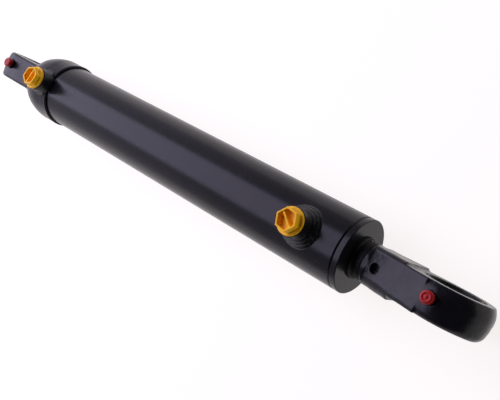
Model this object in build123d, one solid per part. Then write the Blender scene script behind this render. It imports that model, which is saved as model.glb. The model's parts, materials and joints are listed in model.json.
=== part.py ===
from build123d import *
import math
import os

# Double-acting hydraulic cylinder, fully retracted. Millimetres.
# X runs along the cylinder from the base eye to the rod eye, Y is the direction of both pin bores,
# and +Z is the side of the oil ports. The origin is the centre of the base eye's bore.

# Driving dimensions
TUBE_OD = 80.0
BORE_D = 65.0
ROD_D = 40.0
STROKE = 360.0
CLOSED_LENGTH = 691.0  # pin centre to pin centre
BASE_PIN_D = 35.0
BASE_EYE_WIDTH = 35.4
BASE_EYE_BORE_D = 40.0
BASE_EYE_R = 31.5
LUG_CROWN = 1.9
ROD_PIN_D = 50.0
ROD_EYE_WIDTH = 34.0
ROD_EYE_Y = 1.0  # the forged ring sits this far to the +Y side of the rod
ROD_EYE_BORE_D = 60.0
ROD_EYE_R = 42.5
PORT_CLOCK = 4.0  # degrees that ports and grease nipples lean from +Z towards +Y
BASE_NIPPLE_X = 2.6

# Stations along X
TUBE_START = 108.0
TUBE_LENGTH = 478.4
TUBE_END = TUBE_START + TUBE_LENGTH
GLAND_FACE = TUBE_END + 7.6
BASE_PORT_X = TUBE_START - 12.0
HEAD_PORT_X = GLAND_FACE - 52.8
POCKET_START = TUBE_START - 21.5
PISTON_BACK = TUBE_START + 7.0
PISTON_LENGTH = 45.0
PISTON_FRONT = PISTON_BACK + PISTON_LENGTH
GLAND_NOSE = PISTON_FRONT + STROKE + 1.0
NECK_START = GLAND_FACE + 3.6
COLLAR_START = GLAND_FACE + 12.5
SHANK_START = COLLAR_START + 6.0
ROD_FRONT = CLOSED_LENGTH - 43.0
SET_SCREW_X = CLOSED_LENGTH - 68.6
ROD_NIPPLE_X = CLOSED_LENGTH - 2.4

# Radii and clearances
TUBE_R = TUBE_OD / 2
BORE_R = BORE_D / 2
ROD_R = ROD_D / 2
HALF_BASE_EYE = BASE_EYE_WIDTH / 2
HALF_ROD_EYE = ROD_EYE_WIDTH / 2
CAP_R = 42.6
SPIGOT_R = 13.5  # threaded ends of the rod, M27
RUNNING_GAP = 0.05
STATIC_GAP = 0.1

# Grooves in the gland, as distances back from its face
WIPER_SEAT = 6.2
WIPER_MOUTH = 1.6
ROD_SEAL_GROOVE = (22.0, 13.8)
GLAND_BANDS = (60.5, 33.0)
STATIC_GROOVE = (40.0, 33.5)
BAND_WIDTH = 9.7
GLAND_LAND_R = 28.7  # bottom of the static groove

# Grooves in the piston, as distances from its back
PISTON_BANDS = (4.0, 31.2)
PISTON_SEAL_GROOVE = 18.1
PISTON_SEAL_WIDTH = 8.8
PISTON_O_RING_GROOVE = 33.5

# Ports, thread G 1/2
PORT_BOSS_R = 15.6
PORT_TAP_R = 9.5
PORT_TAP_DEPTH = 14.0
PORT_OIL_R = 7.0
BASE_PORT_FACE = 56.4
HEAD_PORT_FACE = 59.2
WELD_TOE_R = 22.8
WELD_RUNS = 3

# Transit plugs in the ports
PLUG_GAP = 0.1
PLUG_FLANGE_R = 14.6
PLUG_FLANGE_T = 3.1
PLUG_HEX_AF = 22.0
PLUG_HEX_H = 7.5
PLUG_WALL = 2.0
PLUG_WEB_T = 2.2

# Rod eye
COLLAR_R = ROD_R + 0.6
SHANK_HALF_Y = 20.3
MILL_START_PLUS = CLOSED_LENGTH - 40.0
MILL_START_MINUS = CLOSED_LENGTH - 45.4
SET_SCREW_R = 4.8

# Rod eye's dust seals, one at each face, with the bush between them
SEAL_T = 4.0
SEAL_SINK = 0.3

# Grease nipples, thread M8, and their caps, as heights above the rim that carries them
NIPPLE_THREAD_R = 4.0
NIPPLE_SINK = 0.8
NIPPLE_CAP_R = 6.0
NIPPLE_CAP_FOOT = 4.6
NIPPLE_CAP_TOP = 11.0

LOW = (Align.CENTER, Align.CENTER, Align.MIN)


def tube_shape(outer_r, height, inner_r):
    """Upright cylinder on the XY plane, hollow when inner_r is above zero."""
    body = Cylinder(outer_r, height, align=LOW)
    if inner_r > 0:
        body = body - Cylinder(inner_r, height, align=LOW)
    return body


def ring(x0, x1, outer_r, inner_r=0.0):
    """Ring or disc about the X axis, from x0 to x1."""
    return Pos(x0, 0, 0) * Rot(0, 90, 0) * tube_shape(outer_r, x1 - x0, inner_r)


def cross_ring(x, y0, y1, outer_r, inner_r=0.0):
    """Ring or disc about a pin axis, parallel to Y at x, from y0 to y1."""
    return Pos(x, y0, 0) * Rot(-90, 0, 0) * tube_shape(outer_r, y1 - y0, inner_r)


def clocked(shape):
    """Lean a shape from +Z towards +Y by the port clocking."""
    return Rot(-PORT_CLOCK, 0, 0) * shape


def post(x, z0, z1, outer_r, inner_r=0.0):
    """Cylinder or ring along the clocked port direction, from height z0 to z1."""
    return clocked(Pos(x, 0, z0) * tube_shape(outer_r, z1 - z0, inner_r))


def turned(points):
    """Solid of revolution about the X axis from (x, radius) points."""
    return revolve(make_face(Polyline(points, close=True)), Axis.X, 360)


def hexagon(across_flats, height):
    """Hexagonal prism on the XY plane."""
    return extrude(RegularPolygon(across_flats / 2, 6, major_radius=False), height)


# ---- barrel side ----

def barrel_tube():
    """Honed tube: weld preparation at the base, thread for the gland at the head."""
    thread_r = BORE_R + 2.5
    tube = turned([
        (TUBE_START, BORE_R), (TUBE_START, TUBE_R - 3.0), (TUBE_START + 3.0, TUBE_R),
        (TUBE_END - 1.2, TUBE_R), (TUBE_END, TUBE_R - 1.2), (TUBE_END, thread_r),
        (TUBE_END - 21.2, thread_r), (TUBE_END - 23.7, BORE_R),
    ])
    return tube - post(HEAD_PORT_X, 0, TUBE_OD, PORT_OIL_R)


def base_weld():
    """Weld run that fills most of the V between cap and tube."""
    return turned([
        (TUBE_START + 0.05, TUBE_R - 2.9), (TUBE_START + 0.05, TUBE_R - 0.9),
        (TUBE_START + 1.0, TUBE_R - 0.6), (TUBE_START + 2.0, TUBE_R - 0.95),
    ])


def lug_plate():
    """Lug of the base eye, running back into the cap, with draft on both sides of its middle plane."""
    length = 62.0
    middle_r = BASE_EYE_R + LUG_CROWN
    draft = math.degrees(math.atan2(LUG_CROWN, HALF_BASE_EYE))
    outline = Circle(middle_r) + Pos(length / 2, 0) * Rectangle(length, 2 * middle_r)
    half = extrude(Plane.XZ * outline, amount=HALF_BASE_EYE, taper=draft)
    plate = half + mirror(half, about=Plane.XZ)
    faces = plate.faces().group_by(Axis.Y)
    rims = [e for f in (faces[0][0], faces[-1][0]) for e in f.edges() if e.center().X < length - 5]
    return chamfer(rims, 2.0)


def base_end_cap():
    """One forging: domed cap with its spigot, the base eye's lug and the base port's boss."""
    dome_x, dome_length, dome_drop = TUBE_START - 22.0, 45.0, 24.5
    dome = EllipticalCenterArc((dome_x, CAP_R - dome_drop), dome_length, dome_drop, 90, arc_size=90)
    back_x, back_r = dome_x - dome_length, CAP_R - dome_drop
    rest = Polyline([
        (dome_x, CAP_R), (TUBE_START - 0.8, CAP_R), (TUBE_START, CAP_R - 0.8),
        (TUBE_START, BORE_R - STATIC_GAP), (TUBE_START + 5.5, BORE_R - STATIC_GAP),
        (TUBE_START + 6.0, BORE_R - 0.6), (TUBE_START + 6.0, 29.0), (POCKET_START, 29.0),
        (POCKET_START, 0), (back_x, 0), (back_x, back_r),
    ])
    cap = revolve(make_face(dome + rest), Axis.X, 360)
    boss = post(BASE_PORT_X, 20.0, BASE_PORT_FACE, PORT_BOSS_R)
    boss = boss - ring(TUBE_START, TUBE_START + 10.0, TUBE_R + STATIC_GAP)
    cap = cap + lug_plate() + boss
    cap = cap - ring(POCKET_START, TUBE_START + 7.0, 29.0)
    cap = cap - post(BASE_PORT_X, BASE_PORT_FACE - PORT_TAP_DEPTH, BASE_PORT_FACE + 1, PORT_TAP_R)
    cap = cap - post(BASE_PORT_X, 0, BASE_PORT_FACE, PORT_OIL_R)
    cap = cap - cross_ring(0, -HALF_BASE_EYE - 1, HALF_BASE_EYE + 1, BASE_EYE_BORE_D / 2)
    return cap - nipple_hole(BASE_NIPPLE_X, BASE_EYE_R, BASE_EYE_BORE_D / 2)


def head_port_boss():
    """Turned boss, cut to the tube's curve."""
    boss = post(HEAD_PORT_X, TUBE_R * 0.7, HEAD_PORT_FACE, PORT_BOSS_R)
    boss = boss - ring(HEAD_PORT_X - 30, HEAD_PORT_X + 30, TUBE_R)
    boss = boss - post(HEAD_PORT_X, HEAD_PORT_FACE - PORT_TAP_DEPTH, HEAD_PORT_FACE + 1, PORT_TAP_R)
    return boss - post(HEAD_PORT_X, 0, HEAD_PORT_FACE, PORT_OIL_R)


def head_port_weld():
    """Fillet weld of the boss, laid as a few runs that step down to the toe."""
    leg = WELD_TOE_R - PORT_BOSS_R
    weld = None
    for run in range(WELD_RUNS):
        outer_r = WELD_TOE_R - leg * run / WELD_RUNS
        shell_r = TUBE_R + leg * (run + 1) / WELD_RUNS * 0.85
        layer = post(HEAD_PORT_X, TUBE_R * 0.7, HEAD_PORT_FACE, outer_r)
        layer = layer & ring(HEAD_PORT_X - 30, HEAD_PORT_X + 30, shell_r)
        weld = layer if weld is None else weld + layer
    weld = weld - ring(HEAD_PORT_X - 30, HEAD_PORT_X + 30, TUBE_R)
    return weld - post(HEAD_PORT_X, 0, HEAD_PORT_FACE, PORT_BOSS_R)


def gland():
    """Screwed rod guide: flange, thread, static seal land and a relieved nose that lets the port's oil by."""
    nose_r, land_r, thread_r = 27.5, BORE_R - 0.06, BORE_R + 2.4
    land_x, thread_x = GLAND_FACE - 44.0, GLAND_FACE - 28.4
    body = turned([
        (GLAND_NOSE, ROD_R + 0.2), (GLAND_NOSE, nose_r - 1), (GLAND_NOSE + 1, nose_r), (land_x, nose_r),
        (land_x, land_r - 1), (land_x + 1, land_r), (thread_x - 2.5, land_r), (thread_x, thread_r),
        (TUBE_END - 4, thread_r), (TUBE_END - 4, thread_r - 1.3), (TUBE_END, thread_r - 1.3),
        (TUBE_END, TUBE_R - 1.2), (TUBE_END + 1.2, TUBE_R), (GLAND_FACE - 0.8, TUBE_R),
        (GLAND_FACE, TUBE_R - 0.8), (GLAND_FACE, ROD_R + 0.2),
    ])
    body = body - ring(GLAND_FACE - WIPER_SEAT, GLAND_FACE - WIPER_MOUTH, 24.9)
    body = body - ring(GLAND_FACE - WIPER_MOUTH, GLAND_FACE + 1, 22.6)
    body = body - ring(GLAND_FACE - ROD_SEAL_GROOVE[0], GLAND_FACE - ROD_SEAL_GROOVE[1], 25.0)
    for back in GLAND_BANDS:
        body = body - ring(GLAND_FACE - back, GLAND_FACE - back + BAND_WIDTH + 0.3, ROD_R + 2.6)
    body = body - ring(GLAND_FACE - STATIC_GROOVE[0], GLAND_FACE - STATIC_GROOVE[1], BORE_R + 5, GLAND_LAND_R)
    for turn in range(4):
        body = body - Rot(45 + 90 * turn, 0, 0) * Pos(GLAND_NOSE, 0, 24.0) * Box(9.0, 8.0, 20.0)
    return body


def split_band(x0, inner_r, outer_r):
    """Guide strip bent into a ring, with its butt gap."""
    gap = Pos(x0 + BAND_WIDTH / 2, 0, outer_r) * Box(BAND_WIDTH + 1, 2.0, 10.0)
    return ring(x0, x0 + BAND_WIDTH, outer_r, inner_r) - gap


def gland_wear_bands():
    """Two guide strips that carry the rod."""
    return [split_band(GLAND_FACE - back + 0.15, ROD_R + RUNNING_GAP, ROD_R + 2.55) for back in GLAND_BANDS]


def rod_seal():
    """U-ring: open side towards the oil."""
    start, end = GLAND_FACE - ROD_SEAL_GROOVE[0] + 0.3, GLAND_FACE - ROD_SEAL_GROOVE[1] - 0.4
    return turned([
        (start, 22.9), (start, 24.9), (end, 24.9), (end, ROD_R + 0.5), (end - 2.8, ROD_R + RUNNING_GAP),
        (start, ROD_R + RUNNING_GAP), (start, 21.9), (start + 4.0, 22.1), (start + 4.0, 22.7),
    ])


def rod_wiper():
    """Wiper snapped in behind the gland's face, with its lip standing out round the rod."""
    start, mouth, lip = GLAND_FACE - WIPER_SEAT + 0.1, GLAND_FACE - WIPER_MOUTH - 0.1, GLAND_FACE + 2.8
    return turned([
        (start, ROD_R + 1.2), (start, 24.8), (mouth, 24.8), (mouth, 22.4), (lip - 0.3, 22.1),
        (lip, 21.8), (lip, ROD_R + 0.8), (lip - 0.4, ROD_R + RUNNING_GAP), (lip - 1.4, ROD_R + RUNNING_GAP),
        (start + 2.8, ROD_R + 1.2),
    ])


def gland_o_ring():
    """Static seal of the gland."""
    section_r = 1.82
    centre_x = GLAND_FACE - STATIC_GROOVE[0] + 1.95
    return Pos(centre_x, 0, 0) * Rot(0, 90, 0) * Torus(GLAND_LAND_R + section_r + 0.08, section_r)


def gland_backup_ring():
    """Ring that keeps the O-ring out of the gap."""
    return ring(GLAND_FACE - 36.0, GLAND_FACE - STATIC_GROOVE[1] - 0.2, BORE_R - 0.08, GLAND_LAND_R + 0.05)


# ---- rod side ----

def piston_rod():
    """Rod with a threaded spigot at each end."""
    back = PISTON_BACK - 24.5
    return turned([
        (back, 0), (back, SPIGOT_R - 1.5), (back + 1.5, SPIGOT_R), (PISTON_FRONT, SPIGOT_R),
        (PISTON_FRONT, ROD_R - 0.5), (PISTON_FRONT + 0.5, ROD_R), (NECK_START, ROD_R),
        (NECK_START, SPIGOT_R), (ROD_FRONT - 1.5, SPIGOT_R), (ROD_FRONT, SPIGOT_R - 1.5), (ROD_FRONT, 0),
    ])


def piston():
    """Piston with grooves for one seal and two guide strips, and a small groove for its O-ring."""
    body = ring(PISTON_BACK, PISTON_FRONT, BORE_R - 0.3, SPIGOT_R + 0.03)
    rims = [e for e in body.edges() if e.geom_type == GeomType.CIRCLE and e.radius > BORE_R - 1]
    body = chamfer(rims, 1.0)
    for offset in PISTON_BANDS:
        start = PISTON_BACK + offset
        body = body - ring(start, start + BAND_WIDTH + 0.3, BORE_R + 1, BORE_R - 2.5)
    seal = PISTON_BACK + PISTON_SEAL_GROOVE
    body = body - ring(seal, seal + PISTON_SEAL_WIDTH, BORE_R + 1, 25.0)
    o_ring = PISTON_BACK + PISTON_O_RING_GROOVE
    return body - ring(o_ring, o_ring + 4.5, SPIGOT_R + 3.2)


def piston_wear_rings():
    """Two guide strips that carry the piston in the bore."""
    inner_r, outer_r = BORE_R - 2.42, BORE_R - RUNNING_GAP
    return [split_band(PISTON_BACK + offset + 0.15, inner_r, outer_r) for offset in PISTON_BANDS]


def piston_seal():
    """Slide ring of the piston seal."""
    start = PISTON_BACK + PISTON_SEAL_GROOVE
    return ring(start + 0.2, start + PISTON_SEAL_WIDTH - 0.2, BORE_R - RUNNING_GAP, 29.2)


def piston_seal_energiser():
    """Rubber ring that loads the slide ring from below."""
    start = PISTON_BACK + PISTON_SEAL_GROOVE
    return ring(start + 0.6, start + PISTON_SEAL_WIDTH - 0.6, 29.2, 25.08)


def piston_o_ring():
    """Static seal between piston and rod."""
    return Pos(PISTON_BACK + PISTON_O_RING_GROOVE + 2.25, 0, 0) * Rot(0, 90, 0) * Torus(SPIGOT_R + 1.62, 1.55)


def piston_nut():
    """Locking nut, M27, 41 mm across flats."""
    length, corner_r, across_flats = 21.0, 24.0, 41.0
    start = PISTON_BACK - length
    nut = Pos(start, 0, 0) * Rot(0, 90, 0) * hexagon(across_flats, length)
    cone = turned([
        (start, 0), (start, corner_r - 3), (start + 1.8, corner_r), (PISTON_BACK, corner_r), (PISTON_BACK, 0),
    ])
    return (nut & cone) - ring(start - 1, PISTON_BACK + 1, SPIGOT_R + 0.02)


def forged_section(x, half_z, plus_r, minus_r):
    """Outline of the rod eye's shank across X, with its own corner radius on the +Y and the -Y side."""
    section = Rectangle(2 * SHANK_HALF_Y, 2 * half_z)
    section = fillet(section.vertices().group_by(Axis.X)[-1], plus_r)
    section = fillet(section.vertices().group_by(Axis.X)[0], minus_r)
    return Plane(origin=(x, 0, 0), x_dir=(0, 1, 0), z_dir=(1, 0, 0)) * section


def eye_ring():
    """Forged ring of the rod eye. Its rim is crowned, and rounder towards the -Y face."""
    x, inner_r = CLOSED_LENGTH, ROD_EYE_BORE_D / 2 - 2
    plus_end, minus_end = (x + 38.7, HALF_ROD_EYE), (x + 36.8, -HALF_ROD_EYE)
    crown, shoulder = (x + ROD_EYE_R, 0.0), (x + 41.4, -10.2)
    rim = ThreePointArc(plus_end, (x + 42.2, 8.0), crown) + ThreePointArc(crown, (x + 42.2, -5.5), shoulder)
    rim = rim + ThreePointArc(shoulder, (x + 39.7, -14.5), minus_end)
    sides = Polyline([minus_end, (x + inner_r, -HALF_ROD_EYE), (x + inner_r, HALF_ROD_EYE), plus_end])
    profile = Pos(0, ROD_EYE_Y, 0) * make_face(rim + sides)
    return revolve(profile, Axis((x, 0, 0), (0, 1, 0)), 360)


def shank():
    """Forged shank that flares from the collar until it meets the ring along a tangent."""
    run = CLOSED_LENGTH - SHANK_START
    ring_r = ROD_EYE_R - 0.3
    angle = math.atan2(COLLAR_R, run) + math.acos(ring_r / math.hypot(run, COLLAR_R))
    touch_x, touch_z = CLOSED_LENGTH - ring_r * math.cos(angle), ring_r * math.sin(angle)
    return loft([
        forged_section(SHANK_START, COLLAR_R, 5.0, 12.0),
        forged_section(touch_x, touch_z, 5.0, 8.5),
    ], ruled=True)


def rod_eye():
    """Forged eye screwed on the rod: turned collar, flared shank, ring and milled faces."""
    eye = shank() + eye_ring()
    eye = eye + ring(COLLAR_START, SHANK_START - 1.2, COLLAR_R)
    eye = eye + ring(NECK_START, SHANK_START, COLLAR_R - 0.65)
    for side, start in ((1, MILL_START_PLUS), (-1, MILL_START_MINUS)):
        mill = Box(120.0, 10.0, 100.0, align=(Align.MIN, Align.CENTER, Align.CENTER))
        eye = eye - Pos(start, ROD_EYE_Y + side * (HALF_ROD_EYE + 5.0), 0) * mill
    eye = eye - cross_ring(CLOSED_LENGTH, -ROD_EYE_WIDTH, ROD_EYE_WIDTH, ROD_EYE_BORE_D / 2)
    eye = eye - ring(NECK_START, ROD_FRONT + 2, SPIGOT_R + 0.03)
    eye = eye - Pos(SET_SCREW_X, 0, SPIGOT_R) * Cylinder(SET_SCREW_R, SPIGOT_R, align=LOW)
    return eye - nipple_hole(ROD_NIPPLE_X, ROD_EYE_R, ROD_EYE_BORE_D / 2)


def rod_eye_set_screw():
    """Socket set screw that locks the eye on the rod's thread."""
    foot, top = SPIGOT_R + 0.05, SPIGOT_R + 3.2
    screw = Pos(0, 0, foot) * Cylinder(SET_SCREW_R - 0.05, top - foot, align=LOW)
    socket = Pos(0, 0, top - 2.0) * hexagon(5.0, 3.0)
    return Pos(SET_SCREW_X, 0, 0) * (screw - socket)


# ---- pieces used at both eyes ----

def eye_bush(x, half_width, outer_d, inner_d, hole_x):
    """Hardened bush pressed in an eye, with a hole for the grease."""
    bush = cross_ring(x, -half_width, half_width, outer_d / 2, inner_d / 2)
    rims = [e for e in bush.edges() if e.geom_type == GeomType.CIRCLE]
    return chamfer(rims, 0.5) - post(hole_x, 0, outer_d, 1.5)


def rod_eye_bush():
    """Bush of the rod eye, as wide as the dust seals leave room for."""
    half_width = HALF_ROD_EYE - SEAL_SINK - SEAL_T - 0.2
    bush = eye_bush(CLOSED_LENGTH, half_width, ROD_EYE_BORE_D, ROD_PIN_D, ROD_NIPPLE_X)
    return Pos(0, ROD_EYE_Y, 0) * bush


def rod_eye_dust_seals():
    """Lip seals that close the bush at both faces of the rod eye."""
    start = HALF_ROD_EYE - SEAL_T - SEAL_SINK
    outer_r, inner_r = ROD_EYE_BORE_D / 2 - 0.02, ROD_PIN_D / 2 + 0.5
    middle_r = (outer_r + inner_r) / 2
    seal = cross_ring(CLOSED_LENGTH, start, start + SEAL_T, outer_r, inner_r)
    lip = cross_ring(CLOSED_LENGTH, start + SEAL_T - 1.2, start + SEAL_T + 1, middle_r + 0.9, middle_r - 0.1)
    one = seal - lip
    return [Pos(0, ROD_EYE_Y, 0) * side for side in (one, one.mirror(Plane.XZ))]


def nipple_hole(x, rim_r, bore_r):
    """Seat, thread and grease way for a nipple in an eye's rim."""
    seat_z = rim_r - NIPPLE_SINK
    seat = post(x, seat_z, seat_z + 6, 6.9)
    thread = post(x, seat_z - 7.5, seat_z + 1, NIPPLE_THREAD_R)
    return seat + thread + post(x, bore_r - 3, seat_z, 1.5)


def grease_nipple(x, rim_r):
    """Straight nipple with its hexagon, neck and head."""
    seat_z = rim_r - NIPPLE_SINK
    hexagon_top = rim_r + NIPPLE_CAP_FOOT - 0.2
    shank_body = post(x, seat_z - 6.5, seat_z, NIPPLE_THREAD_R - 0.03)
    nut = clocked(Pos(x, 0, seat_z) * hexagon(9.0, hexagon_top - seat_z))
    neck = post(x, hexagon_top, hexagon_top + 2.6, 2.3)
    head = clocked(Pos(x, 0, hexagon_top + 2.6) * Cone(3.2, 2.4, 2.4, align=LOW))
    way = post(x, seat_z - 6.6, hexagon_top + 5.1, 0.9)
    return shank_body + nut + neck + head - way


def grease_cap(x, rim_r):
    """Plastic cap pushed over a nipple's head: a short drum with a rim and a small nub on top."""
    foot = rim_r + NIPPLE_CAP_FOOT
    drum_h = NIPPLE_CAP_TOP - NIPPLE_CAP_FOOT - 0.7
    drum = Cylinder(NIPPLE_CAP_R, drum_h, align=LOW)
    drum = fillet(drum.edges().group_by(Axis.Z)[-1], 0.8)
    rim = Pos(0, 0, drum_h) * tube_shape(4.7, 0.5, 3.5)
    nub = Pos(0, 0, drum_h) * Cylinder(1.3, 0.7, align=LOW)
    hollow = Cylinder(3.4, drum_h - 0.8, align=LOW)
    return clocked(Pos(x, 0, foot) * (drum + rim + nub - hollow))


def port_plug(x, face, hex_turn, web_turn):
    """Transit plug: flange, hollow hexagon head with one web across it, and a plain shank in the port."""
    foot = face + PLUG_GAP
    top = foot + PLUG_FLANGE_T
    plug = Pos(0, 0, foot) * Cylinder(PLUG_FLANGE_R, PLUG_FLANGE_T, align=LOW)
    plug = fillet(plug.edges().group_by(Axis.Z)[-1], 0.8)
    hollow_af = PLUG_HEX_AF - 2 * PLUG_WALL
    head = Pos(0, 0, top) * Rot(0, 0, hex_turn) * hexagon(PLUG_HEX_AF, PLUG_HEX_H)
    hollow = Pos(0, 0, top) * Rot(0, 0, hex_turn) * hexagon(hollow_af, 2 * PLUG_HEX_H)
    web = Pos(0, 0, top) * Rot(0, 0, web_turn) * Box(hollow_af + 1, PLUG_WEB_T, PLUG_HEX_H - 1.0, align=LOW)
    shank_body = Pos(0, 0, foot - 11.0) * Cylinder(PORT_TAP_R - 0.25, 11.0, align=LOW)
    plug = plug + (head - hollow) + (web & head) + shank_body
    return Pos(x, 0, 0) * clocked(plug)


NODES = {
    "barrel_tube": barrel_tube(),
    "base_end_cap": base_end_cap(),
    "base_weld": base_weld(),
    "head_port_boss": head_port_boss(),
    "head_port_weld": head_port_weld(),
    "gland": gland(),
    "rod_wiper": rod_wiper(),
    "rod_seal": rod_seal(),
    "gland_wear_bands": gland_wear_bands(),
    "gland_o_ring": gland_o_ring(),
    "gland_backup_ring": gland_backup_ring(),
    "base_eye_bush": eye_bush(0, HALF_BASE_EYE - 0.5, BASE_EYE_BORE_D, BASE_PIN_D, BASE_NIPPLE_X),
    "base_grease_nipple": grease_nipple(BASE_NIPPLE_X, BASE_EYE_R),
    "base_grease_cap": grease_cap(BASE_NIPPLE_X, BASE_EYE_R),
    "piston_rod": piston_rod(),
    "piston": piston(),
    "piston_nut": piston_nut(),
    "piston_o_ring": piston_o_ring(),
    "piston_seal": piston_seal(),
    "piston_seal_energiser": piston_seal_energiser(),
    "piston_wear_rings": piston_wear_rings(),
    "rod_eye": rod_eye(),
    "rod_eye_set_screw": rod_eye_set_screw(),
    "rod_eye_bush": rod_eye_bush(),
    "rod_eye_dust_seals": rod_eye_dust_seals(),
    "rod_grease_nipple": grease_nipple(ROD_NIPPLE_X, ROD_EYE_R),
    "rod_grease_cap": grease_cap(ROD_NIPPLE_X, ROD_EYE_R),
    "base_port_plug": port_plug(BASE_PORT_X, BASE_PORT_FACE, 20.0, 80.0),
    "head_port_plug": port_plug(HEAD_PORT_X, HEAD_PORT_FACE, -8.5, -38.5),
}

os.makedirs("parts", exist_ok=True)
for name, shape in NODES.items():
    if isinstance(shape, list):
        shape = Compound(children=shape)
    export_step(shape, f"parts/{name}.step")
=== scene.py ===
"""Looks of a double-acting hydraulic cylinder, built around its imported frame. Metres, in the frame's own axes:
+X from the base eye to the rod eye, +Y along the eye bores, +Z the side of the oil ports."""

import json
import math

import bmesh
import bpy
import numpy as np
from mathutils import Matrix, Vector, noise as mathnoise

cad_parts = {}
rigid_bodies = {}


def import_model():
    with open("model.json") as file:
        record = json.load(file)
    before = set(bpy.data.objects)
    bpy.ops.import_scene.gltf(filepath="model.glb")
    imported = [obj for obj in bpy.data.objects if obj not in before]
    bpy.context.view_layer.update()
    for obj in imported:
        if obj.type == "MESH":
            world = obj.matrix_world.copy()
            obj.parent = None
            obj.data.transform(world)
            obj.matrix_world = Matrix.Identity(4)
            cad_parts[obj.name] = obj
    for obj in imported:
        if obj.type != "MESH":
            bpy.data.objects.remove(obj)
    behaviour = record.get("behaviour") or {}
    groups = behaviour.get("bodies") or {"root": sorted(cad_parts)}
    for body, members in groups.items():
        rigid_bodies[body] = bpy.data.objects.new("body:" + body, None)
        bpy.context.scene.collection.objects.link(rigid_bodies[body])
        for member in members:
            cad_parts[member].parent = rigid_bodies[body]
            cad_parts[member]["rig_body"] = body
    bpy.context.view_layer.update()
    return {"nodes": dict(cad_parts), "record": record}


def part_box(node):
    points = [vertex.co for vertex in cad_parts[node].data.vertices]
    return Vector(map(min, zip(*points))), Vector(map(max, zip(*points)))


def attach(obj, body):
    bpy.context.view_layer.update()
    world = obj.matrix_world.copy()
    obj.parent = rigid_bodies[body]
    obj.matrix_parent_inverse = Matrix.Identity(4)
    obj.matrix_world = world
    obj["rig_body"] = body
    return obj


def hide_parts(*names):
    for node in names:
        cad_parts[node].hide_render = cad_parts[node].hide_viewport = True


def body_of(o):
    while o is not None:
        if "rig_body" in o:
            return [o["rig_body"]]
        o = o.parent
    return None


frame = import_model()
NODES = frame["nodes"]
SLOT_OF = {row["node"]: row["material_slot"] for row in frame["record"]["subparts"]}

# ---- places read from the frame ----

X, Y, Z = 0, 1, 2


def middle(node, axis):
    """Middle of a node's box along an axis."""
    low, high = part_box(node)
    return (low[axis] + high[axis]) / 2


def half_width(node, axis):
    """Half of the width of a node's box along an axis."""
    low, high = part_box(node)
    return (high[axis] - low[axis]) / 2


TUBE_START, TUBE_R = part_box("barrel_tube")[0].x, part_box("barrel_tube")[1].z
GLAND_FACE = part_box("gland")[1].x
ROD_EYE_START, ROD_EYE_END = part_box("rod_eye")[0].x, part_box("rod_eye")[1].x
FLOOR_Z = min(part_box("rod_eye")[0].z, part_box("base_end_cap")[0].z)

# ---- materials ----

ENAMEL_SHADES = (0.0085, 0.0079, 0.0100), (0.0115, 0.0107, 0.0132)
DUST_COLOUR = (0.034, 0.032, 0.038)
ENAMEL_IOR = 1.29  # less than real paint's 1.5, so that the barrel mirrors the pale studio only faintly
ORANGE_PEEL = 0.000012
MOULDED_GRAIN = 0.000015
RUBBER_GRAIN = 0.00001
PLASTIC_GLOW = 0.12  # share of the light that passes through a plastic's skin
PLASTIC_DEPTH = (0.002, 0.001, 0.0004)


def new_material(name):
    """Node material with its Principled shader, ready for sockets and links."""
    material = bpy.data.materials.new(name)
    material.use_nodes = True
    return material, material.node_tree, material.node_tree.nodes["Principled BSDF"]


def object_coordinates(tree):
    return tree.nodes.new("ShaderNodeTexCoord").outputs["Object"]


def noise(tree, scale, detail=4.0, roughness=0.5, vector=None):
    """Noise texture in object space, in features per metre."""
    node = tree.nodes.new("ShaderNodeTexNoise")
    node.inputs["Scale"].default_value = scale
    node.inputs["Detail"].default_value = detail
    node.inputs["Roughness"].default_value = roughness
    tree.links.new(vector or object_coordinates(tree), node.inputs["Vector"])
    return node.outputs["Fac"]


def remap(tree, value, low, high, to_low=0.0, to_high=1.0):
    """Maps value from low..high to to_low..to_high, and clamps it."""
    node = tree.nodes.new("ShaderNodeMapRange")
    node.inputs["From Min"].default_value = low
    node.inputs["From Max"].default_value = high
    node.inputs["To Min"].default_value = to_low
    node.inputs["To Max"].default_value = to_high
    tree.links.new(value, node.inputs["Value"])
    return node.outputs["Result"]


def mix_colour(tree, factor, first, second):
    """Mixes two colours, each of them a tuple or another node's output."""
    node = tree.nodes.new("ShaderNodeMix")
    node.data_type = "RGBA"
    tree.links.new(factor, node.inputs["Factor"])
    for socket, colour in (("A", first), ("B", second)):
        if isinstance(colour, tuple):
            node.inputs[socket].default_value = (*colour, 1.0)
        else:
            tree.links.new(colour, node.inputs[socket])
    return node.outputs["Result"]


def bump(tree, shader, height, distance, before=None):
    """Adds a bump of that height to the shader's normal, on top of an earlier bump's normal."""
    node = tree.nodes.new("ShaderNodeBump")
    node.inputs["Distance"].default_value = distance
    tree.links.new(height, node.inputs["Height"])
    if before is not None:
        tree.links.new(before, node.inputs["Normal"])
    tree.links.new(node.outputs["Normal"], shader.inputs["Normal"])
    return node.outputs["Normal"]


def black_enamel(name, gloss, forging=0.0):
    """Gloss black paint: orange peel, faint dust and a fine variation in gloss. forging is the height of a rough
    skin below the paint."""
    material, tree, shader = new_material(name)
    shade = mix_colour(tree, remap(tree, noise(tree, 45.0), 0.35, 0.7), *ENAMEL_SHADES)
    dust = remap(tree, noise(tree, 420.0, 2.0, 0.4), 0.72, 0.78)
    tree.links.new(mix_colour(tree, dust, shade, DUST_COLOUR), shader.inputs["Base Color"])
    tree.links.new(remap(tree, noise(tree, 160.0, 6.0), 0.3, 0.75, *gloss), shader.inputs["Roughness"])
    shader.inputs["IOR"].default_value = ENAMEL_IOR
    peel = bump(tree, shader, noise(tree, 700.0, 2.0), ORANGE_PEEL)
    if forging > 0:
        bump(tree, shader, noise(tree, 230.0, 5.0, 0.6), forging, before=peel)
    return material


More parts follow.
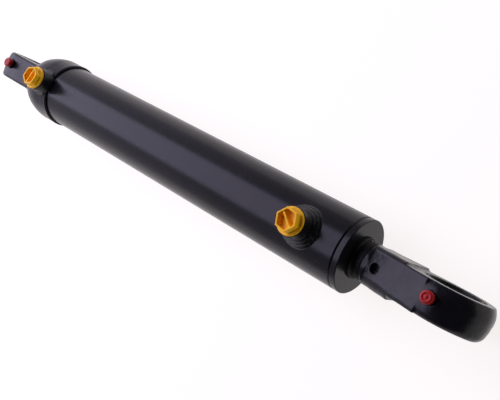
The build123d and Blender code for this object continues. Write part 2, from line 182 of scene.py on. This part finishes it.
def metal(name, colour, roughness, scratch_scale, scratch_depth, stretch=(1.0, 1.0, 1.0)):
    """Machined metal. Its fine lines run along the axis that stretch squeezes least."""
    material, tree, shader = new_material(name)
    shader.inputs["Metallic"].default_value = 1.0
    mapping = tree.nodes.new("ShaderNodeMapping")
    mapping.inputs["Scale"].default_value = stretch
    tree.links.new(object_coordinates(tree), mapping.inputs["Vector"])
    lines = noise(tree, scratch_scale, 5.0, 0.6, mapping.outputs["Vector"])
    tone = tuple(c * 0.82 for c in colour)
    tree.links.new(mix_colour(tree, remap(tree, lines, 0.3, 0.7), tone, colour), shader.inputs["Base Color"])
    gloss = remap(tree, noise(tree, 90.0), 0.3, 0.7, roughness * 0.8, roughness * 1.25)
    tree.links.new(gloss, shader.inputs["Roughness"])
    bump(tree, shader, lines, scratch_depth)
    return material


def plastic(name, colour, shadow, roughness, specular=0.3):
    """Soft moulded plastic, a little translucent, with a fine grain."""
    material, tree, shader = new_material(name)
    tone = remap(tree, noise(tree, 120.0), 0.3, 0.7)
    tree.links.new(mix_colour(tree, tone, shadow, colour), shader.inputs["Base Color"])
    gloss = remap(tree, noise(tree, 300.0), 0.3, 0.7, roughness * 0.85, roughness * 1.2)
    tree.links.new(gloss, shader.inputs["Roughness"])
    shader.inputs["Specular IOR Level"].default_value = specular
    shader.inputs["Subsurface Weight"].default_value = PLASTIC_GLOW
    shader.inputs["Subsurface Radius"].default_value = PLASTIC_DEPTH
    bump(tree, shader, noise(tree, 900.0, 3.0), MOULDED_GRAIN)
    return material


def rubber(name, colour, roughness=0.5):
    """Matt dark surface with a very fine grain, for seals, for thin paint and for the painted shade of the weld's
    pits.
    """
    material, tree, shader = new_material(name)
    shader.inputs["Specular IOR Level"].default_value = 0.3
    worn = tuple(c * 1.6 + 0.004 for c in colour)
    tone = remap(tree, noise(tree, 200.0), 0.4, 0.75)
    tree.links.new(mix_colour(tree, tone, colour, worn), shader.inputs["Base Color"])
    gloss = remap(tree, noise(tree, 400.0), 0.3, 0.7, roughness * 0.85, roughness * 1.15)
    tree.links.new(gloss, shader.inputs["Roughness"])
    bump(tree, shader, noise(tree, 1500.0, 4.0), RUBBER_GRAIN)
    return material


LOOKS = {
    "black_paint": black_enamel("black_enamel", gloss=(0.21, 0.29)),
    "hard_chrome": metal("hard_chrome", (0.78, 0.79, 0.81), 0.09, 30.0, 0.0000008, (1.0, 20.0, 20.0)),
    "turned_steel": metal("turned_steel", (0.46, 0.46, 0.47), 0.28, 60.0, 0.000006, (30.0, 1.0, 1.0)),
    "bush_steel": metal("bush_steel", (0.40, 0.39, 0.38), 0.25, 60.0, 0.000004, (1.0, 25.0, 1.0)),
    "black_oxide_steel": metal("black_oxide_steel", (0.018, 0.018, 0.020), 0.45, 200.0, 0.000004),
    "seal_rubber": rubber("seal_rubber", (0.012, 0.012, 0.012)),
    "wiper_polyurethane": rubber("wiper_polyurethane", (0.003, 0.003, 0.0035), 0.62),
    "seal_polyurethane": rubber("seal_polyurethane", (0.05, 0.12, 0.22), 0.35),
    "guide_strip": plastic("guide_strip", (0.22, 0.11, 0.05), (0.15, 0.07, 0.035), 0.6),
    "backup_plastic": plastic("backup_plastic", (0.80, 0.79, 0.74), (0.72, 0.71, 0.66), 0.45),
    "slide_ring": plastic("slide_ring", (0.13, 0.18, 0.12), (0.09, 0.13, 0.085), 0.45),
    "red_plastic": plastic("red_plastic", (0.43, 0.011, 0.012), (0.35, 0.008, 0.009), 0.34, specular=0.25),
    "yellow_plastic": plastic("yellow_plastic", (1.0, 0.56, 0.006), (0.94, 0.48, 0.004), 0.36, specular=0.16),
}
NECK_PAINT = rubber("bare_neck", (0.006, 0.006, 0.007), 0.55)
# Darker, matt paint round the weld's stop: painted shade, standing in for the shadow in the lump's pits.
PIT_SHADE_PAINT = rubber("painted_pit_shade", (0.004, 0.004, 0.004), 0.5)
FORGED_PAINT = black_enamel("black_enamel_on_forging", gloss=(0.22, 0.31), forging=0.00005)

for name, node in NODES.items():
    node.data.materials.clear()
    node.data.materials.append(LOOKS[SLOT_OF[name]])

# ---- tools for pieces that take the place of a CAD node ----

MERGE_DISTANCE = 2e-6


def add_piece(name, mesh, node, material):
    """Shows mesh in place of a CAD node, on the same body."""
    piece = bpy.data.objects.new(name, mesh)
    bpy.context.scene.collection.objects.link(piece)
    mesh.materials.clear()
    mesh.materials.append(material)
    mesh.polygons.foreach_set("use_smooth", [True] * len(mesh.polygons))
    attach(piece, body_of(NODES[node])[0])
    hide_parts(node)


def soft_copy(node, voxel, rounds):
    """Even mesh of a CAD node, with its edges rounded by that many rounds of smoothing."""
    mesh = NODES[node].data.copy()
    editable = bmesh.new()
    editable.from_mesh(mesh)
    bmesh.ops.remove_doubles(editable, verts=editable.verts, dist=MERGE_DISTANCE)
    editable.to_mesh(mesh)
    editable.free()
    helper = bpy.data.objects.new(node + "_helper", mesh)
    bpy.context.scene.collection.objects.link(helper)
    remesh = helper.modifiers.new("even", "REMESH")
    remesh.mode = "VOXEL"
    remesh.voxel_size = voxel
    remesh.adaptivity = 0.0
    smooth = helper.modifiers.new("soft", "SMOOTH")
    smooth.factor = 0.5
    smooth.iterations = rounds
    depsgraph = bpy.context.evaluated_depsgraph_get()
    result = bpy.data.meshes.new_from_object(helper.evaluated_get(depsgraph))
    bpy.data.objects.remove(helper)
    return result


def mesh_arrays(mesh):
    """Coordinates, normals and edges of a mesh."""
    places = np.empty(len(mesh.vertices) * 3, np.float32)
    mesh.vertices.foreach_get("co", places)
    normals = np.empty(len(mesh.vertices) * 3, np.float32)
    mesh.vertices.foreach_get("normal", normals)
    edges = np.empty(len(mesh.edges) * 2, np.int32)
    mesh.edges.foreach_get("vertices", edges)
    return places.reshape(-1, 3).astype(float), normals.reshape(-1, 3).astype(float), edges.reshape(-1, 2)


def put_places(mesh, places):
    mesh.vertices.foreach_set("co", places.astype(np.float32).ravel())
    mesh.update()


def fill_creases(mesh, weight, rounds):
    """Rounds off concave corners where weight is 1, as a forging die does, and leaves convex ones."""
    for _ in range(rounds):
        places, normals, edges = mesh_arrays(mesh)
        ends = np.concatenate((edges, edges[:, ::-1]))
        count = np.bincount(ends[:, 0], minlength=len(places))
        mean = np.stack([
            np.bincount(ends[:, 0], places[ends[:, 1], axis], minlength=len(places)) / count for axis in (X, Y, Z)
        ], axis=1)
        rise = np.einsum("ij,ij->i", mean - places, normals)
        put_places(mesh, places + normals * (np.maximum(rise, 0) * weight(places))[:, None])


def roughen(mesh, weight, scale, height, seed):
    """Moves the surface along its normals by smooth noise: scale in features per metre, height in metres."""
    places, normals, _ = mesh_arrays(mesh)
    shift = Vector((seed, 2 * seed, 3 * seed))
    wave = np.array([mathnoise.noise(Vector(place) * scale + shift) for place in places])
    put_places(mesh, places + normals * (wave * height * weight(places, normals))[:, None])


def milled(places, normals, face_y, reach, flatness):
    """True on flat faces square to Y that lie within reach of face_y."""
    return (np.abs(normals[:, Y]) > flatness) & (np.abs(places[:, Y] - face_y) < reach)


# ---- forgings ----

CREASE_MARGIN = 0.003  # how far from a bore the forging's creases are filled
SKIN_MARGIN = 0.002  # how far from a bore its rolling skin begins

ROD_EYE_BORE_R = 0.030
ROD_EYE_Y = 0.001
ROD_EYE_REACH = 0.0185
SET_SCREW_MARGIN = 0.0065
NECK_END = ROD_EYE_START + 0.0083  # turned neck between the wiper and the eye's collar
COLLAR_MIDDLE = ROD_EYE_START + 0.012
SHANK_START = ROD_EYE_START + 0.017

BASE_EYE_BORE_R = 0.020
BASE_EYE_REACH = 0.019
LUG_END = 0.03  # where the base eye's flat faces run out
PORT_BORE_MARGIN = 0.0115
PORT_FACE_MARGIN = 0.0175
SPIGOT_START = 0.060
SPIGOT_REACH = 0.030
SEAM_X = TUBE_START - 0.0022  # edge of the weld between cap and tube


def rod_eye_surface():
    """Forged rod eye: soft edges and a rolling skin, with the milled faces and the bore left true."""
    bore_x, screw_x = middle("rod_eye_bush", X), middle("rod_eye_set_screw", X)
    mesh = soft_copy("rod_eye", voxel=0.00075, rounds=4)

    def creases(places):
        from_bore = np.hypot(places[:, X] - bore_x, places[:, Z])
        from_screw = np.hypot(places[:, X] - screw_x, places[:, Y])
        clear = (from_bore > ROD_EYE_BORE_R + CREASE_MARGIN) & (from_screw > SET_SCREW_MARGIN)
        return clear & (places[:, X] > COLLAR_MIDDLE)

    def skin(places, normals):
        from_bore = np.hypot(places[:, X] - bore_x, places[:, Z])
        machined = milled(places, normals, ROD_EYE_Y, ROD_EYE_REACH, flatness=0.9)
        return (from_bore > ROD_EYE_BORE_R + SKIN_MARGIN) & ~machined & (places[:, X] > SHANK_START)

    fill_creases(mesh, creases, rounds=12)
    roughen(mesh, skin, scale=60.0, height=0.0005, seed=1.0)
    roughen(mesh, skin, scale=230.0, height=0.00009, seed=2.0)
    add_piece("rod_eye_forging", mesh, "rod_eye", FORGED_PAINT)
    mesh.materials.append(NECK_PAINT)
    for polygon in mesh.polygons:
        polygon.material_index = int(polygon.center.x < NECK_END)


def base_end_surface():
    """Forged base end: the lug and the port's boss grow out of the dome with fillets."""
    port_x, port_y = middle("base_port_plug", X), middle("base_port_plug", Y)
    mesh = soft_copy("base_end_cap", voxel=0.0008, rounds=3)

    def creases(places):
        from_bore = np.hypot(places[:, X], places[:, Z])
        from_port = np.hypot(places[:, X] - port_x, places[:, Y] - port_y)
        from_axis = np.hypot(places[:, Y], places[:, Z])
        outside = (from_axis > SPIGOT_REACH) | (places[:, X] < SPIGOT_START)
        clear = (from_bore > BASE_EYE_BORE_R + CREASE_MARGIN) & (from_port > PORT_BORE_MARGIN)
        return clear & (places[:, X] < SEAM_X) & outside

    def skin(places, normals):
        from_bore = np.hypot(places[:, X], places[:, Z])
        from_port = np.hypot(places[:, X] - port_x, places[:, Y] - port_y)
        machined = milled(places, normals, 0.0, BASE_EYE_REACH, flatness=0.95) & (places[:, X] < LUG_END)
        clear = (from_bore > BASE_EYE_BORE_R + SKIN_MARGIN) & (from_port > PORT_FACE_MARGIN)
        return clear & ~machined & (places[:, X] < SEAM_X)

    fill_creases(mesh, creases, rounds=45)
    roughen(mesh, skin, scale=45.0, height=0.0004, seed=3.0)
    roughen(mesh, skin, scale=230.0, height=0.00007, seed=4.0)
    add_piece("base_end_forging", mesh, "base_end_cap", FORGED_PAINT)


# ---- weld round the head port's boss ----

WELD_STEPS_ROUND, WELD_STEPS_UP, WELD_PASSES = 540, 36, 3
WELD_LEG = 0.0062  # height at the boss
WELD_HOLLOW = 1.15  # power of the climb from toe to boss: 1 is a straight slope
WELD_TUCK = 0.0001  # how far it runs into the boss
WELD_SUNK = 0.0002  # how far its underside runs into the tube
WELD_LEAST = 0.00005
TOE_WANDER = 0.0006
BEAD_HEIGHT, RIPPLE_HEIGHT, BEAD_ROUGHNESS = 0.00045, 0.00006, 0.00030
RIPPLE_LENGTH = 0.00022  # length of one radian of the ripple
RIPPLE_LAG = 2.4  # radians by which a ripple's edges trail its middle
RIPPLE_OFFSET = 9  # radians from one pass's ripple to the next one's
STOP_ANGLE, STOP_HEIGHT = -0.12, 0.25  # where the last pass stops: radians round from +X, share of the climb
STOP_LENGTH, STOP_SPREAD = 0.0042, 0.36
STOP_LUMP, STOP_PITS = 0.0008, 0.0018
# Patch of painted shade round the lump's pits: its size, its ragged edge and how far above the tube its middle lies.
PIT_SHADE_R, PIT_SHADE_EDGE = 0.0058, 0.0016
PIT_SHADE_LIFT = 0.003


def weld_height(ring, angle, r, climb):
    """Height of the weld over the tube at radius r on a ray round the boss, a share climb of the way from toe to boss.
    Three passes overlap, each with its ripples, and a pitted lump is left where the last one stops."""
    number = min(int(climb * WELD_PASSES), WELD_PASSES - 1)
    from_middle = (2 * (climb * WELD_PASSES - number) - 1) ** 2
    bead = math.sqrt(max(0.0, 1 - from_middle))
    ripple = math.sin(angle * r / RIPPLE_LENGTH + RIPPLE_OFFSET * number - RIPPLE_LAG * from_middle)
    rough = mathnoise.noise(Vector((ring.x * r, ring.y * r, climb * 0.01)) * 260 + Vector((0, 0, 11 * number)))
    turn = (angle - STOP_ANGLE + math.pi) % (2 * math.pi) - math.pi
    lump = math.exp(-((turn * r / STOP_LENGTH) ** 2) - ((climb - STOP_HEIGHT) / STOP_SPREAD) ** 2)
    pits = mathnoise.noise(Vector((ring.x * r, ring.y * r, 0.0)) * 620)
    height = WELD_LEG * climb ** WELD_HOLLOW
    height += bead * (BEAD_HEIGHT + RIPPLE_HEIGHT * ripple + BEAD_ROUGHNESS * rough)
    return max(height + lump * (STOP_LUMP + STOP_PITS * pits), WELD_LEAST)


def port_weld_surface():
    """Fillet weld between the head port's boss and the tube, with a darker, matt patch where the last pass stops:
    painted shade standing in for the shadow in its pits.
    """
    port_x = middle("head_port_boss", X)
    inner_r, toe_r = half_width("head_port_boss", X) - WELD_TUCK, half_width("head_port_weld", X)
    clock = math.atan2(middle("head_port_plug", Y), middle("head_port_plug", Z))
    out, across = Vector((0, math.sin(clock), math.cos(clock))), Vector((0, math.cos(clock), -math.sin(clock)))

    def over_tube(x, w, height):
        """Point at x along the tube and w across the port's axis, that height above the tube's surface."""
        return Vector((x, 0, 0)) + across * w + out * (math.sqrt(TUBE_R ** 2 - w ** 2) + height)

    vertices, faces = [], []
    for step in range(WELD_STEPS_ROUND):
        angle = 2 * math.pi * step / WELD_STEPS_ROUND
        ring = Vector((math.cos(angle), math.sin(angle), 0.0))
        wander = TOE_WANDER * mathnoise.noise(ring * 1.6 + Vector((7, 0, 0)))
        for up in range(WELD_STEPS_UP + 1):
            climb = up / WELD_STEPS_UP
            r = toe_r + wander * (1 - climb) + (inner_r - toe_r) * climb
            vertices.append(over_tube(port_x + r * ring.x, r * ring.y, weld_height(ring, angle, r, climb)))
        for r in (inner_r, toe_r + wander):
            vertices.append(over_tube(port_x + r * ring.x, r * ring.y, -WELD_SUNK))
    column = WELD_STEPS_UP + 3
    for step in range(WELD_STEPS_ROUND):
        here, there = step * column, (step + 1) % WELD_STEPS_ROUND * column
        for row in range(column):
            below = (row + 1) % column
            faces.append((here + row, here + below, there + below, there + row))
    mesh = bpy.data.meshes.new("head_port_weld_bead")
    mesh.from_pydata(vertices, [], faces)
    editable = bmesh.new()
    editable.from_mesh(mesh)
    bmesh.ops.recalc_face_normals(editable, faces=editable.faces)
    editable.to_mesh(mesh)
    editable.free()
    add_piece("head_port_weld_bead", mesh, "head_port_weld", FORGED_PAINT)

    # Darker, matt patch round the stop: painted shade of the lump's pits.
    mesh.materials.append(PIT_SHADE_PAINT)
    stop_r = toe_r + (inner_r - toe_r) * STOP_HEIGHT
    stop = over_tube(port_x + stop_r * math.cos(STOP_ANGLE), stop_r * math.sin(STOP_ANGLE), PIT_SHADE_LIFT)
    for polygon in mesh.polygons:
        grain = PIT_SHADE_EDGE * mathnoise.noise(polygon.center * 420)
        polygon.material_index = int((polygon.center - stop).length < PIT_SHADE_R + grain)


rod_eye_surface()
base_end_surface()
port_weld_surface()

# ---- plugs, caps and nipples ----

SOFTENED = (
    ("base_port_plug", "moulding", 0.0004),
    ("head_port_plug", "moulding", 0.0004),
    ("base_grease_cap", "moulding", 0.00028),
    ("rod_grease_cap", "moulding", 0.00028),
    ("base_grease_nipple", "turned", 0.0003),
    ("rod_grease_nipple", "turned", 0.0003),
)
for node, ending, voxel in SOFTENED:
    add_piece(f"{node}_{ending}", soft_copy(node, voxel, rounds=2), node, LOOKS[SLOT_OF[node]])

# ---- floor, light and camera ----

FLOOR_HALF = 6.0
FLOOR_COLOUR = (0.20, 0.19, 0.18)
FLOOR_GLOW = (0.88, 0.85, 0.84)  # light of its own, which keeps it nearly white
BACKDROP = 1.0  # brightness of the backdrop as the camera sees it
SKY_TINT = (0.96, 0.92, 1.06)
SKY_BEHIND, SKY_BEFORE = 1.20, 0.03  # what reflections meet past the base end and past the rod end
SKY_LOW = 0.10  # and at least this much near the horizon
OVERHEAD_TINT = (0.76, 0.71, 1.0)
OVERHEAD_SIZE = (5.6, 2.2)
OVERHEAD_SHORT = 0.66  # how far it stops short of the rod eye's end
OVERHEAD_Y = 0.08
OVERHEAD_Z = 1.5
OVERHEAD_RADIANCE = 3.25
CAMERA_REACH, CAMERA_Y, CAMERA_Z = 0.3011, 0.0682, 0.6468  # its place: reach is past the gland's face
CAMERA_LOOK = (-0.5674, -0.0911, -0.8183)
CAMERA_UP = (-0.4041, 0.8968, 0.1803)
CAMERA_LENS, CAMERA_SENSOR = 52.12, 36.0  # in millimetres, as Blender has them


def make_floor():
    """Wide pale floor at the lowest point of the object, glowing so that it stays nearly white."""
    mesh = bpy.data.meshes.new("floor")
    corners = [(x * FLOOR_HALF, y * FLOOR_HALF, FLOOR_Z) for x, y in ((-1, -1), (1, -1), (1, 1), (-1, 1))]
    mesh.from_pydata(corners, [], [(0, 1, 2, 3)])
    floor = bpy.data.objects.new("floor", mesh)
    bpy.context.scene.collection.objects.link(floor)
    material, _, shader = new_material("pale_floor")
    shader.inputs["Base Color"].default_value = (*FLOOR_COLOUR, 1.0)
    shader.inputs["Roughness"].default_value = 0.8
    shader.inputs["Emission Color"].default_value = (*FLOOR_GLOW, 1.0)
    shader.inputs["Emission Strength"].default_value = 1.0
    mesh.materials.append(material)


def make_overhead():
    """Rectangular soft light above the object, facing down."""
    data = bpy.data.lights.new("overhead_softbox", "AREA")
    data.shape = "RECTANGLE"
    data.size, data.size_y = OVERHEAD_SIZE
    data.energy = OVERHEAD_RADIANCE * OVERHEAD_SIZE[0] * OVERHEAD_SIZE[1] * math.pi
    data.color = OVERHEAD_TINT
    light = bpy.data.objects.new("overhead_softbox", data)
    light.location = (ROD_EYE_END - OVERHEAD_SHORT - OVERHEAD_SIZE[0] / 2, OVERHEAD_Y, OVERHEAD_Z)
    light.rotation_mode = "QUATERNION"
    light.rotation_quaternion = Vector((0, 0, -OVERHEAD_Z)).to_track_quat("-Z", "Y")
    bpy.context.scene.collection.objects.link(light)


def make_world():
    """White backdrop to the camera. Reflections meet a darker studio instead, lighter past the base end."""
    world = bpy.data.worlds.new("studio")
    world.use_nodes = True
    tree = world.node_tree
    seen = tree.nodes["Background"]
    seen.inputs["Strength"].default_value = BACKDROP
    seen.inputs["Color"].default_value = (1.0, 1.0, 1.0, 1.0)
    reflected = tree.nodes.new("ShaderNodeBackground")
    reflected.inputs["Color"].default_value = (*SKY_TINT, 1.0)
    direction = tree.nodes.new("ShaderNodeSeparateXYZ")
    tree.links.new(tree.nodes.new("ShaderNodeTexCoord").outputs["Generated"], direction.inputs["Vector"])
    level = remap(tree, direction.outputs["Z"], 0.05, 0.40, SKY_LOW, 0.0)
    along = remap(tree, direction.outputs["X"], -0.95, -0.25, SKY_BEHIND, SKY_BEFORE)
    brightness = tree.nodes.new("ShaderNodeMath")
    brightness.operation = "MAXIMUM"
    tree.links.new(level, brightness.inputs[0])
    tree.links.new(along, brightness.inputs[1])
    tree.links.new(brightness.outputs["Value"], reflected.inputs["Strength"])
    mix = tree.nodes.new("ShaderNodeMixShader")
    tree.links.new(tree.nodes.new("ShaderNodeLightPath").outputs["Is Camera Ray"], mix.inputs["Fac"])
    tree.links.new(reflected.outputs["Background"], mix.inputs[1])
    tree.links.new(seen.outputs["Background"], mix.inputs[2])
    tree.links.new(mix.outputs["Shader"], tree.nodes["World Output"].inputs["Surface"])
    bpy.context.scene.world = world


def make_camera():
    """Camera above the rod end, looking down and back along the barrel."""
    look = Vector(CAMERA_LOOK).normalized()
    right = look.cross(Vector(CAMERA_UP)).normalized()
    up = right.cross(look)
    data = bpy.data.cameras.new("camera")
    data.lens = CAMERA_LENS
    data.sensor_width = CAMERA_SENSOR
    camera = bpy.data.objects.new("camera", data)
    camera.rotation_mode = "QUATERNION"
    camera.location = (GLAND_FACE + CAMERA_REACH, CAMERA_Y, CAMERA_Z)
    camera.rotation_quaternion = Matrix((right, up, -look)).transposed().to_quaternion()
    bpy.context.scene.collection.objects.link(camera)
    bpy.context.scene.camera = camera


make_floor()
make_world()
make_camera()
make_overhead()

bpy.context.scene.view_settings.view_transform = "Standard"
